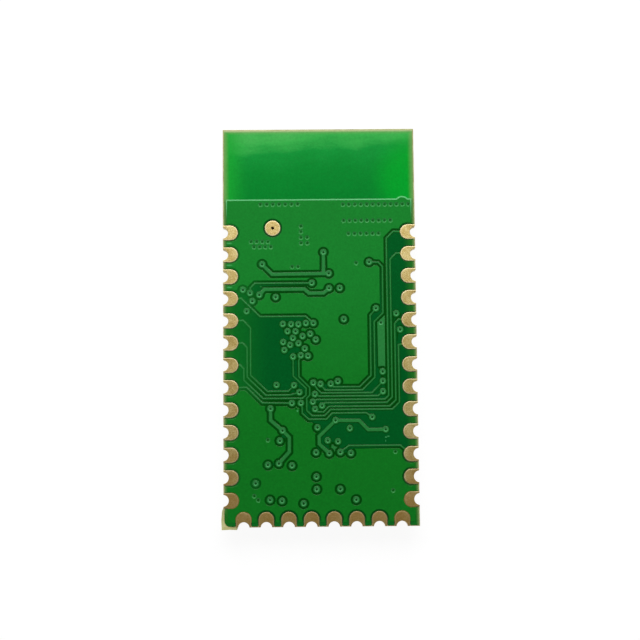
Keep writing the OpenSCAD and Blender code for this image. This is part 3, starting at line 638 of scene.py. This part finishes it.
def shaped(name, bm):
    """A new object in the scene from a mesh that is ready."""
    mesh = bpy.data.meshes.new(name)
    bm.to_mesh(mesh)
    bm.free()
    even_shade(mesh)
    return linked(name, mesh)


def loft(name, rings, closed):
    """Skins closed sections in a row and rounds the skin's sharp edges a little."""
    bm = bmesh.new()
    rim_highlight = bm.verts.layers.float.new("rim_highlight")
    rows = [[bm.verts.new(point) for point in ring] for ring in rings]
    # The rim points of each section carry the gold's painted highlight.
    for row in rows:
        for i in RIM_POINTS:
            row[i][rim_highlight] = 1
    pairs = list(zip(rows, rows[1:])) + ([(rows[-1], rows[0])] if closed else [])
    for first, second in pairs:
        for i, vert in enumerate(first):
            bm.faces.new((vert, first[i - 1], second[i - 1], second[i]))
    if not closed:
        bm.faces.new(rows[0])
        bm.faces.new(rows[-1])
    bmesh.ops.recalc_face_normals(bm, faces=bm.faces)
    round_edges(bm, SHARP, PAD_ROUND, segments=2)
    return shaped(name, bm)


def plated_section(inner, lining, brim, outer, low, high):
    """A pad on each face and the hole's lining between them, as one closed section."""
    return [
        (*inner, high), (*brim, high), (*outer, high), (*outer, high - PAD), (*lining, high - PAD),
        (*lining, low + PAD), (*outer, low + PAD), (*outer, low), (*brim, low), (*inner, low),
    ]


def arc(radius, start, end, count, x=0.0, y=0.0):
    """Points in even steps along an arc round a centre."""
    turns = (start + (end - start) * i / count for i in range(count + 1))
    return [(x + radius * math.cos(a), y + radius * math.sin(a)) for a in turns]


def gold_finish(name):
    """Immersion gold over nickel: matt, with a fine grain, a painted highlight at the rims and painted shade
    towards the contact end.
    """
    gold = Finish(name, Metallic=1.0)
    grain = gold.noise(16, 4)
    stain = gold.noise(1.1, 2)
    tone = gold.sum(grain, 0.6, gold.both(stain, 0.4))
    plate = gold.ramp(tone, [
        (0.34, srgb(158, 131, 69)),
        (0.5, srgb(190, 168, 106)),
        (0.66, srgb(216, 201, 148)),
    ])
    # Painted highlight: pale gold along the pads' rims.
    rim_highlight = gold.add("Attribute", attribute_name="rim_highlight").outputs["Fac"]
    plate = gold.mix(gold.both(rim_highlight, 0.8), plate, srgb(246, 236, 192))
    # Painted shade: the gold is darker and browner towards the contact end, where it reflects less of the key
    # light, unevenly with the stain noise.
    dim_end_reflection = gold.span(gold.sum(stain, 5, gold.y), -4.0, -10.0)
    gold.colour(gold.mix(gold.both(dim_end_reflection, 0.6), plate, srgb(168, 130, 68)))
    gold.rough(grain, 0.42, 0.54)
    gold.bump(grain, 0.002)
    return gold


left_low, left_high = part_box("left_contacts")
pad_length = left_high.x - left_low.x
middle = pad_length - CONTACT_WIDTH / 2
straight = [middle * i / STRAIGHT_STEPS for i in range(STRAIGHT_STEPS)]
brim_path, outer_path = (
    [(x, -half) for x in straight]
    + arc(half, -math.pi / 2, math.pi / 2, ROUND_STEPS, middle)
    + [(x, half) for x in reversed(straight)]
    for half in (CONTACT_WIDTH / 2 - BRIM, CONTACT_WIDTH / 2)
)
inner_turn = math.acos(NOTCH_OUT / NOTCH_RADIUS)
lining_turn = math.acos(NOTCH_OUT / (NOTCH_RADIUS + LINING))
inner_path = arc(NOTCH_RADIUS, -inner_turn, inner_turn, PATH_STEPS, -NOTCH_OUT)
lining_path = arc(NOTCH_RADIUS + LINING, -lining_turn, lining_turn, PATH_STEPS, -NOTCH_OUT)
paths = zip(inner_path, lining_path, brim_path, outer_path)
contact = loft("contact", [plated_section(*points, left_low.z, left_high.z) for points in paths], False)


def new_tree(name, inputs):
    """A geometry tree with named inputs and one geometry output."""
    tree = bpy.data.node_groups.new(name, "GeometryNodeTree")
    for title, kind in inputs:
        tree.interface.new_socket(title, in_out="INPUT", socket_type="NodeSocket" + kind)
    tree.interface.new_socket("Geometry", in_out="OUTPUT", socket_type="NodeSocketGeometry")
    return tree, tree.nodes.new("NodeGroupInput").outputs, tree.nodes.new("NodeGroupOutput").inputs


def repeat(tree, instance, points, turn, material):
    """Sets an object's mesh on points, real and in its material. Gives the output."""
    info = tree.nodes.new("GeometryNodeObjectInfo")
    place = tree.nodes.new("GeometryNodeInstanceOnPoints")
    real = tree.nodes.new("GeometryNodeRealizeInstances")
    finish = tree.nodes.new("GeometryNodeSetMaterial")
    tree.links.new(instance, info.inputs["Object"])
    tree.links.new(points, place.inputs["Points"])
    tree.links.new(info.outputs["Geometry"], place.inputs["Instance"])
    tree.links.new(turn, place.inputs["Rotation"])
    tree.links.new(place.outputs["Instances"], real.inputs["Geometry"])
    tree.links.new(real.outputs["Geometry"], finish.inputs["Geometry"])
    tree.links.new(material, finish.inputs["Material"])
    return finish.outputs["Geometry"]


def grown(name, mesh, tree, values):
    """Runs a tree with its inputs set, and keeps the result as a plain mesh piece."""
    piece = linked(name, mesh)
    modifier = piece.modifiers.new("tree", "NODES")
    modifier.node_group = tree
    for item in tree.interface.items_tree:
        if item.name in values:
            modifier[item.identifier] = values[item.name]
    graph = bpy.context.evaluated_depsgraph_get()
    piece_mesh = bpy.data.meshes.new_from_object(piece.evaluated_get(graph))
    piece.modifiers.clear()
    piece.data = piece_mesh
    piece_mesh.name = name
    even_shade(piece_mesh)
    return piece


row_tree, row_in, row_out = new_tree("contact_row", [
    ("Contact", "Object"),
    ("Count", "Int"),
    ("Start", "Vector"),
    ("Step", "Vector"),
    ("Turn", "Rotation"),
    ("Gold", "Material"),
])
line = row_tree.nodes.new("GeometryNodeMeshLine")
row_tree.links.new(row_in["Count"], line.inputs["Count"])
row_tree.links.new(row_in["Start"], line.inputs["Start Location"])
row_tree.links.new(row_in["Step"], line.inputs["Offset"])
in_row = repeat(row_tree, row_in["Contact"], line.outputs["Mesh"], row_in["Turn"], row_in["Gold"])
row_tree.links.new(in_row, row_out["Geometry"])

gold = gold_finish("immersion_gold")
right_low, right_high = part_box("right_contacts")
end_low, end_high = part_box("end_contacts")
for node, count, start, end, turn in (
    ("left_contacts", SIDE_COUNT, (left_low.x, left_low.y), (left_low.x, left_high.y), 0),
    ("right_contacts", SIDE_COUNT, (right_high.x, right_low.y), (right_high.x, right_high.y), math.pi),
    ("end_contacts", END_COUNT, (end_low.x, end_low.y), (end_high.x, end_low.y), math.pi / 2),
):
    run = Vector(end) - Vector(start)
    first = Vector(start) + run.normalized() * CONTACT_WIDTH / 2
    step = run * (1 - CONTACT_WIDTH / run.length) / (count - 1)
    row = grown(node + "_gold", bpy.data.meshes.new(node), row_tree, {
        "Contact": contact, "Count": count, "Start": (*first, 0), "Step": (*step, 0), "Turn": (0, 0, turn),
        "Gold": gold.material,
    })
    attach(row, "root")
    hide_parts(node)
bpy.data.objects.remove(contact)

# The test pad: a small drilled hole, plated through with a round pad on both faces, in the same copper and
# gold as the contacts. It is lofted round from their section.

HOLE_RADIUS = 0.1 * MM
HOLE_STEPS = 64

test_low, test_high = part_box("test_pad")
test_x, test_y = ((test_low + test_high) / 2).xy
test_radius = (test_high.x - test_low.x) / 2
rings = [
    arc(radius, 0, 2 * math.pi, HOLE_STEPS, test_x, test_y)[:-1]
    for radius in (HOLE_RADIUS, HOLE_RADIUS + LINING, test_radius - BRIM, test_radius)
]
sections = [plated_section(*points, test_low.z, test_high.z) for points in zip(*rings)]
test_pad = loft("test_pad_gold", sections, True)
dress(test_pad, gold)
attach(test_pad, "root")
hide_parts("test_pad")

# The chips: two ball grid packages, a green substrate under a black moulding with a round mark at ball 1.
# They are copies of the CAD nodes with their edges broken, as a saw leaves them, on balls of tin solder.

SUBSTRATE = 0.26
SUBSTRATE_FADE = 0.01
MARK_IN = 0.5
MARK_RADIUS = 0.25
MARK_FADE = 0.03
MARK_DEPTH = 0.03
CHIP_ROUND = 0.018 * MM
MOULD_SHARP = 0.6
FLAT_TURN = math.radians(1)


def softened(node, name, reach, finish):
    """Copies a CAD node with its flats joined and its sharp edges rounded."""
    bm = bmesh.new()
    bm.from_mesh(cad[node].data)
    bmesh.ops.remove_doubles(bm, verts=bm.verts, dist=WELD)
    bmesh.ops.dissolve_limit(bm, angle_limit=FLAT_TURN, verts=bm.verts, edges=bm.edges)
    round_edges(bm, MOULD_SHARP, reach, segments=3)
    piece = shaped(name, bm)
    dress(piece, finish)
    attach(piece, "root")
    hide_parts(node)


def moulding_finish(name, substrate_z, marks=()):
    """Black filled epoxy over a dark green substrate from a height on, with grey marks at ball 1."""
    black = Finish(name)
    filler = black.noise(14, 4)
    patch = black.noise(0.5, 2)
    epoxy = black.ramp(black.sum(filler, 0.6, black.both(patch, 0.4)), [
        (0.35, srgb(28, 28, 30)),
        (0.65, srgb(48, 48, 50)),
    ])
    for x, y in marks:
        ends = {0: black.place, 1: (x, y, MARK_DEPTH)}
        away = black.add("VectorMath", ends, operation="DISTANCE").outputs["Value"]
        mark = black.span(away, MARK_RADIUS, MARK_RADIUS - MARK_FADE)
        epoxy = black.mix(mark, epoxy, srgb(104, 104, 100))
    layers = black.mix(black.noise(2, 3, (1, 1, 14)), srgb(22, 52, 34), srgb(70, 84, 48))
    edge = black.span(black.z, substrate_z - SUBSTRATE_FADE, substrate_z + SUBSTRATE_FADE)
    black.colour(black.mix(edge, epoxy, layers))
    black.rough(filler, 0.42, 0.62)
    black.bump(filler, 0.006)
    return black


tin = Finish("solder_tin", Metallic=1.0)
frost = tin.noise(9, 4)
tin.colour(tin.ramp(frost, [(0.3, srgb(168, 170, 172)), (0.7, srgb(212, 213, 212))]))
tin.rough(frost, 0.22, 0.42)
tin.bump(frost, 0.004)

chips = {node: [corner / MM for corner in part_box(node)] for node in ("radio_chip", "flash_chip")}
moulding = moulding_finish("chip_moulding", chips["radio_chip"][1].z - SUBSTRATE, [
    (low.x + MARK_IN, high.y - MARK_IN) for low, high in chips.values()
])
for node in chips:
    softened(node, node + "_package", CHIP_ROUND, moulding)
    dress(cad[node + "_balls"], tin)

# The crystal: a base of white fired ceramic with quarter-round corners, soldered to the board, and a metal
# lid that is seam-welded to it. Both are copies of the CAD nodes with rounded edges.

BASE_ROUND = 0.02 * MM
LID_ROUND = 0.045 * MM

ceramic = Finish("crystal_ceramic", Roughness=0.55)
pores = ceramic.noise(12, 4)
ceramic.colour(ceramic.ramp(pores, [(0.3, srgb(206, 196, 168)), (0.7, srgb(232, 225, 204))]))
ceramic.bump(pores, 0.005)
softened("crystal_base", "crystal_base_ceramic", BASE_ROUND, ceramic)

lid = Finish("crystal_lid_metal", Metallic=1.0)
brushed = lid.noise(6, 4, (0.12, 2.4, 1))
lid.colour(lid.ramp(brushed, [(0.3, srgb(178, 176, 168)), (0.7, srgb(214, 212, 204))]))
lid.rough(brushed, 0.24, 0.4)
lid.bump(brushed, 0.002)
softened("crystal_lid", "crystal_lid_plate", LID_ROUND, lid)

# The band filter: a block of fired ceramic between two plated ends, which are soldered to the board. Both are
# copies of the CAD nodes with rounded edges.

BLOCK_ROUND = 0.02 * MM
PLATE_ROUND = 0.015 * MM

fired = Finish("filter_ceramic", Roughness=0.5)
glaze = fired.noise(10, 4)
fired.colour(fired.ramp(glaze, [(0.3, srgb(214, 208, 194)), (0.7, srgb(236, 232, 222))]))
fired.bump(glaze, 0.005)
softened("band_filter", "band_filter_block", BLOCK_ROUND, fired)
softened("band_filter_ends", "band_filter_caps", PLATE_ROUND, tin)

# The regulator: a body moulded in black epoxy, without a substrate, on gull-wing leads of tinned alloy, which
# are soldered to the board. Both are copies of the CAD nodes with rounded edges.

BODY_ROUND = 0.025 * MM
LEAD_ROUND = 0.012 * MM

body_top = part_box("regulator_body")[1].z / MM
black = moulding_finish("regulator_epoxy", body_top + SUBSTRATE)
softened("regulator_body", "regulator_moulding", BODY_ROUND, black)
softened("regulator_leads", "regulator_wings", LEAD_ROUND, tin)

# The small parts: ceramic capacitors, resistors and inductors with plated ends, each soldered to two lands
# with a hollow fillet. One part of each kind is built, then a geometry tree sets it on the places of the CAD
# nodes.

CAP_LENGTH = 0.25 * MM
CAP_PROUD = 0.02 * MM
CAP_ROUND = 0.035 * MM
CERAMIC_ROUND = 0.015 * MM
TOE = 0.1 * MM
FILLET_WIDTH = 0.92
FILLET_HEIGHT = 0.6
FILLET_STEPS = 8
FILLET_ROUND = 0.004 * MM


def solid(name, bm, reach):
    """Rounds a mesh's sharp edges and makes it an object."""
    bmesh.ops.recalc_face_normals(bm, faces=bm.faces)
    round_edges(bm, SHARP, reach, segments=3)
    return shaped(name, bm)


def add_block(bm, low, high):
    """Adds a block between two corners."""
    made = bmesh.ops.create_cube(bm, size=1)["verts"]
    for vert in made:
        vert.co = [a if v < 0 else b for v, a, b in zip(vert.co, low, high)]


def add_fillet(bm, side, end, width, height):
    """Adds solder that runs hollow from a part's end down to its land."""
    hollow = arc(1, math.pi, 1.5 * math.pi, FILLET_STEPS)
    section = [(0, 0)] + [(TOE * (1 + x), -height * (1 + y)) for x, y in hollow]
    rows = []
    for y in (-width / 2, width / 2):
        rows.append([bm.verts.new((side * (end + x), y, z)) for x, z in section])
    for i in range(len(section)):
        bm.faces.new((rows[0][i], rows[0][i - 1], rows[1][i - 1], rows[1][i]))
    bm.faces.new(rows[0])
    bm.faces.new(rows[1])


def part_pieces(length, width, height):
    """The body, the ends and the solder of one part that hangs below its lands."""
    body, ends, solder = bmesh.new(), bmesh.new(), bmesh.new()
    reach = length / 2 - CAP_PROUD
    low = (-reach, CAP_PROUD - width / 2, CAP_PROUD - height)
    high = (reach, width / 2 - CAP_PROUD, -CAP_PROUD)
    add_block(body, low, high)
    for side in (-1, 1):
        near, far = sorted((side * (length / 2 - CAP_LENGTH), side * length / 2))
        add_block(ends, (near, -width / 2, -height), (far, width / 2, 0))
        add_fillet(solder, side, length / 2, width * FILLET_WIDTH, height * FILLET_HEIGHT)
    return (
        solid("body", body, CERAMIC_ROUND),
        solid("ends", ends, CAP_ROUND),
        solid("solder", solder, FILLET_ROUND),
    )


part_tree, part_in, part_out = new_tree("small_parts", [
    ("Places", "Geometry"),
    ("Body", "Object"),
    ("Ends", "Object"),
    ("Solder", "Object"),
    ("Turn", "Rotation"),
    ("Body Finish", "Material"),
    ("End Finish", "Material"),
])
join = part_tree.nodes.new("GeometryNodeJoinGeometry")
for item, material in (("Body", "Body Finish"), ("Ends", "End Finish"), ("Solder", "End Finish")):
    branch = repeat(part_tree, part_in[item], part_in["Places"], part_in["Turn"], part_in[material])
    part_tree.links.new(branch, join.inputs["Geometry"])
part_tree.links.new(join.outputs["Geometry"], part_out["Geometry"])


def part_finish(name, dark, light, roughness):
    """Fired ceramic with a fine speckle."""
    fired = Finish(name, Roughness=roughness)
    speckle = fired.noise(17, 4)
    fired.colour(fired.ramp(speckle, [(0.32, srgb(*dark)), (0.68, srgb(*light))]))
    fired.bump(speckle, 0.005)
    return fired


tan = part_finish("capacitor_ceramic", (138, 108, 76), (176, 144, 106), 0.5)
for name, nodes, slot, finish in (
    ("capacitors", [f"capacitor_{i}" for i in range(1, 10)], "capacitor", tan),
    ("large_capacitors", ["large_capacitor_1", "large_capacitor_2"], "capacitor", tan),
    ("resistors", [f"resistor_{i}" for i in range(1, 4)], "resistor",
     part_finish("resistor_glaze", (22, 22, 26), (44, 44, 50), 0.35)),
    ("inductors", ["inductor_1", "inductor_2"], "inductor",
     part_finish("inductor_ceramic", (120, 140, 152), (160, 178, 188), 0.5)),
):
    boxes = [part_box(node) for node in nodes]
    low, high = boxes[0]
    models = part_pieces(*(high - low))
    places = bpy.data.meshes.new(name)
    places.from_pydata([(*((a + b) / 2).xy, b.z) for a, b in boxes], [], [])
    group = grown(name + "_soldered", places, part_tree, {
        "Body": models[0], "Ends": models[1], "Solder": models[2], "Turn": (0, 0, 0),
        "Body Finish": finish.material, "End Finish": tin.material,
    })
    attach(group, "root")
    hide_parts(*nodes)
    for model in models:
        bpy.data.objects.remove(model)

# The stage: a pale dish as floor and backdrop, a softbox towards the antenna end, a weak one opposite, and a
# camera almost straight above. The dish glows for the camera, but not close under the part.

FLOOR_RADIUS = 0.35
FLOOR_RISE = 0.2
FLOOR_STEPS = 16
FLOOR_SIDES = 64
SHADE_X = 5.8
SHADE_Y = 12.8
SHADE_FULL = 0.75
GLOW = 0.93
PALE = 0.8, 0.8, 0.8, 1
DIM = 0.11, 0.11, 0.11, 1
SKY = 0.1, 0.1, 0.1, 1
CAMERA_LENS = 87.9
CAMERA_NEAR = 0.005
CAMERA_PLACE = -1.3 * MM, -12.8 * MM, 106.1 * MM
CAMERA_TURN = 7.19, -0.65, -0.56

paper = Finish("white_paper")
rays = paper.add("LightPath").outputs
seen = paper.most(rays["Is Camera Ray"], rays["Is Glossy Ray"])
through = paper.most(seen, rays["Is Transmission Ray"])
shade_x = paper.unsigned(paper.both(paper.x, 1 / SHADE_X))
shade_y = paper.unsigned(paper.both(paper.y, 1 / SHADE_Y))
limits = {"Value": paper.most(shade_x, shade_y), "From Min": SHADE_FULL, "To Max": GLOW}
strength = paper.add("MapRange", limits).outputs["Result"]
matt = paper.add("BsdfDiffuse", {"Color": PALE}).outputs[0]
shadow = paper.add("BsdfDiffuse", {"Color": DIM}).outputs[0]
glow = paper.add("Emission", {"Strength": strength}).outputs[0]
shown = paper.add("AddShader", {0: glow, 1: shadow}).outputs[0]
choice = paper.add("MixShader", {0: through, 1: matt, 2: shown}).outputs[0]
paper.tree.nodes.remove(paper.shader)
paper.feed(paper.tree.nodes["Material Output"].inputs["Surface"], choice)

curve = [(0, 0), (FLOOR_RADIUS / 2, 0)]
for i in range(1, FLOOR_STEPS + 1):
    turn = math.pi / 2 * i / FLOOR_STEPS
    curve.append((FLOOR_RADIUS / 2 * (1 + math.sin(turn)), FLOOR_RISE * (1 - math.cos(turn))))
dish = bmesh.new()
profile = [dish.verts.new((r, 0, z)) for r, z in curve]
spine = [dish.edges.new(pair) for pair in zip(profile, profile[1:])]
bmesh.ops.spin(
    dish, geom=profile + spine, cent=(0, 0, 0), axis=(0, 0, 1), angle=2 * math.pi, steps=FLOOR_SIDES,
    use_merge=True,
)
bmesh.ops.remove_doubles(dish, verts=dish.verts, dist=TINY)
bmesh.ops.recalc_face_normals(dish, faces=dish.faces)
floor_mesh = bpy.data.meshes.new("floor")
dish.to_mesh(floor_mesh)
dish.free()
floor_mesh.polygons.foreach_set("use_smooth", [True] * len(floor_mesh.polygons))
floor = linked("floor", floor_mesh)
dress(floor, paper)


def softbox(name, tilt, distance, width, length, radiance):
    """An area light that leans from straight above towards +Y and faces the part."""
    light = bpy.data.lights.new(name, "AREA")
    light.shape = "RECTANGLE"
    light.size = width
    light.size_y = length
    light.energy = radiance * math.pi * width * length
    lamp = linked(name, light)
    lean = math.radians(tilt)
    lamp.location = (0, distance * math.sin(lean), distance * math.cos(lean))
    lamp.rotation_euler = (-lean, 0, 0)


softbox("key", tilt=41, distance=0.145, width=0.162, length=0.102, radiance=4.9)
softbox("fill", tilt=-75, distance=0.3, width=0.4, length=0.1, radiance=1.5)
world = bpy.data.worlds.new("studio")
world.use_nodes = True
world.node_tree.nodes["Background"].inputs["Color"].default_value = SKY
bpy.context.scene.world = world
bpy.context.scene.view_settings.view_transform = "Standard"

lens = bpy.data.cameras.new("camera")
lens.lens = CAMERA_LENS
lens.clip_start = CAMERA_NEAR
camera = linked("camera", lens)
camera.location = CAMERA_PLACE
camera.rotation_euler = [math.radians(turn) for turn in CAMERA_TURN]
bpy.context.scene.camera = camera
